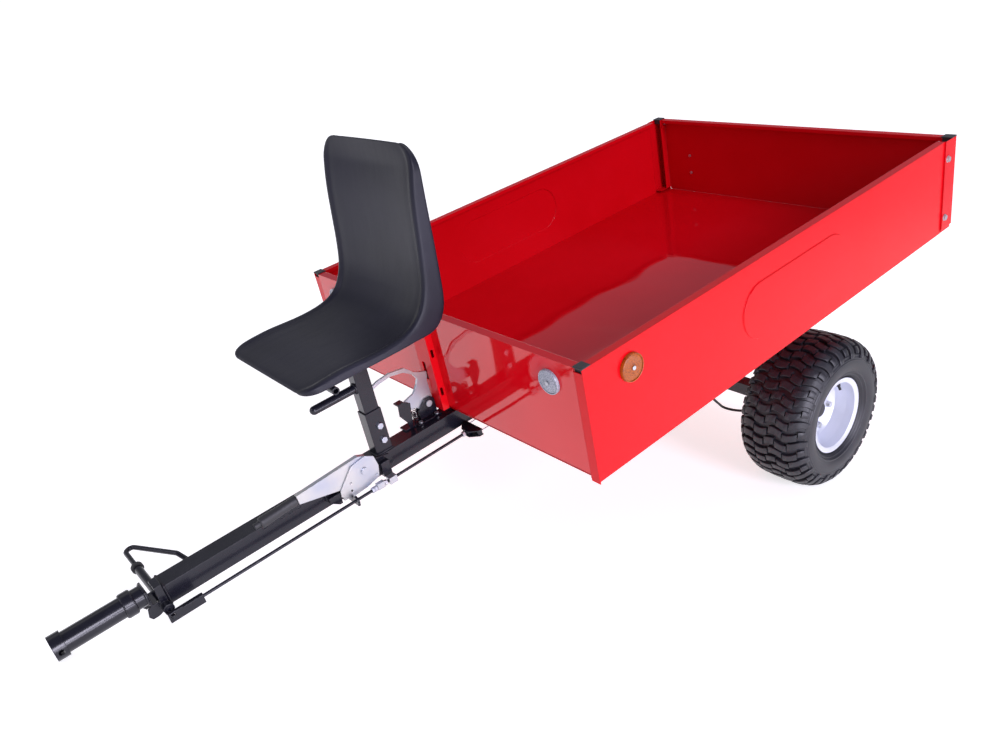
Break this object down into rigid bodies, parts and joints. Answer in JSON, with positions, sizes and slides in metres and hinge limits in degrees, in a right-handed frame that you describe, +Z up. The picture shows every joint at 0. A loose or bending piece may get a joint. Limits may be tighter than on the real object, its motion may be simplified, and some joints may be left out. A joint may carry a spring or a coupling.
{
  "type": "tow behind cart",
  "caption": "Tow behind cart: open red sheet-steel tipping bed on two turf tyres, black square drawbar with a moulded seat, hand and foot brakes, tipping latch and round hitch tube.",
  "frame": {"origin": "on the floor under the middle of the cart as it stands on its two tyres and its hitch tip", "axes": "+Z up, +Y from the hitch towards the tailgate, +X towards the handbrake side; the cart stands nose-down, so bed and drawbar slope up by about 15 degrees towards the rear"},
  "size_m": [1.158, 2.5346, 1.013],
  "materials": {
    "black_paint": "satin powder coat",
    "steel": "turned",
    "zinc": "bright zinc plate",
    "red_paint": "gloss powder coat",
    "seat_plastic": "satin moulded",
    "black_plastic": "moulded",
    "rubber": "soft",
    "sheath": "smooth",
    "clear_lens": "ribbed reflector",
    "amber_lens": "ribbed reflector",
    "tyre": "turf tread",
    "rim_silver": "silver paint",
    "cast_hub": "black paint"
  },
  "bodies": {
    "chassis": {"drawbar": "black_paint", "drawbar_front_plate": "black_paint", "hitch_tube": "black_paint", "hitch_collars": "black_paint", "axle_frame": "black_paint", "stub_axles": "steel", "brake_backplates": "black_paint", "rubber_pads": "rubber", "frame_bolts": "zinc", "seat_post_socket": "black_paint", "seat_post": "black_paint", "handle_bar": "black_paint", "seat_bracket": "black_paint", "seat_shell": "seat_plastic", "handbrake_bracket": "black_paint", "handbrake_sector": "zinc", "handbrake_pivot": "zinc", "cable_brackets": "black_paint", "sheath_ends": "zinc", "brake_sheaths": "sheath", "latch_base": "black_paint", "latch_pin": "zinc", "latch_spring": "black_paint"},
    "bed": {"bed_floor": "red_paint", "bed_frame": "red_paint", "front_panel": "red_paint", "side_panel_left": "red_paint", "side_panel_right": "red_paint", "rear_posts": "red_paint", "corner_caps": "black_plastic", "clear_reflectors": "clear_lens", "amber_reflectors": "amber_lens", "reflector_screws": "zinc", "bed_bolts": "zinc", "latch_channel": "red_paint"},
    "tailgate": {"tailgate_panel": "red_paint", "gate_guides": "zinc"},
    "drop_bolt_left": {"gate_bolt_left": "zinc"},
    "drop_bolt_right": {"gate_bolt_right": "zinc"},
    "wheel_left": {"tyre_left": "tyre", "rim_left": "rim_silver", "hub_drum_left": "cast_hub", "lug_bolts_left": "zinc", "tyre_valve_left": "rubber"},
    "wheel_right": {"tyre_right": "tyre", "rim_right": "rim_silver", "hub_drum_right": "cast_hub", "lug_bolts_right": "zinc", "tyre_valve_right": "rubber"},
    "foot_pedal": {"pedal_rod": "black_paint", "pedal_ring": "rubber", "pedal_crank": "black_paint"},
    "pull_rod": {"brake_rod": "black_paint", "rod_fittings": "zinc", "balancer": "black_paint", "brake_wires": "zinc"},
    "handbrake": {"handbrake_lever": "zinc", "handbrake_grip": "black_plastic"},
    "release_button": {"handbrake_button": "black_plastic"},
    "tip_latch": {"latch_lever": "zinc"}
  },
  "joints": [
    {"name": "bed_tip", "type": "hinge", "parent": "chassis", "child": "bed", "pos_m": [0, 0.67757, 0.54116], "axis": [-1, 0, 0], "range_deg": [0, 50]},
    {"name": "tailgate_swing", "type": "hinge", "parent": "bed", "child": "tailgate", "pos_m": [0, 1.16689, 0.98154], "axis": [1, 0, 0], "range_deg": [0, 95]},
    {"name": "drop_bolt_left_slide", "type": "slide", "parent": "tailgate", "child": "drop_bolt_left", "axis": [0, 0.2633, -0.9647], "range_m": [-0.008, 0.014]},
    {"name": "drop_bolt_right_slide", "type": "slide", "parent": "tailgate", "child": "drop_bolt_right", "axis": [0, 0.2633, -0.9647], "range_m": [-0.008, 0.014]},
    {"name": "wheel_left_spin", "type": "hinge", "parent": "chassis", "child": "wheel_left", "pos_m": [-0.471, 0.73596, 0.2285], "axis": [1, 0, 0], "continuous": true},
    {"name": "wheel_right_spin", "type": "hinge", "parent": "chassis", "child": "wheel_right", "pos_m": [0.471, 0.73596, 0.2285], "axis": [1, 0, 0], "continuous": true},
    {"name": "foot_pedal_press", "type": "hinge", "parent": "chassis", "child": "foot_pedal", "pos_m": [0, -1.03541, 0.05705], "axis": [-1, 0, 0], "range_deg": [0, 25], "stiffness_Nm_per_rad": 8, "springref_deg": -8.59},
    {"name": "pull_rod_slide", "type": "slide", "parent": "chassis", "child": "pull_rod", "axis": [0, -0.9647, -0.2633], "range_m": [0, 0.006]},
    {"name": "handbrake_lift", "type": "hinge", "parent": "chassis", "child": "handbrake", "pos_m": [0.0365, -0.54095, 0.23554], "axis": [-1, 0, 0], "range_deg": [0, 55]},
    {"name": "release_button_press", "type": "slide", "parent": "handbrake", "child": "release_button", "axis": [0, 0.9516, 0.3074], "range_m": [0, 0.006], "stiffness_N_per_m": 800, "springref_m": -0.003},
    {"name": "tip_latch_release", "type": "hinge", "parent": "chassis", "child": "tip_latch", "pos_m": [-0.024, -0.30443, 0.33741], "axis": [1, 0, 0], "range_deg": [-4, 14], "stiffness_Nm_per_rad": 20, "springref_deg": -0.6, "deforming": ["latch_spring"]}
  ],
  "couplings": [
    {"joint": "pull_rod_slide", "follows": "foot_pedal_press", "m_per_rad": 0.012}
  ]
}
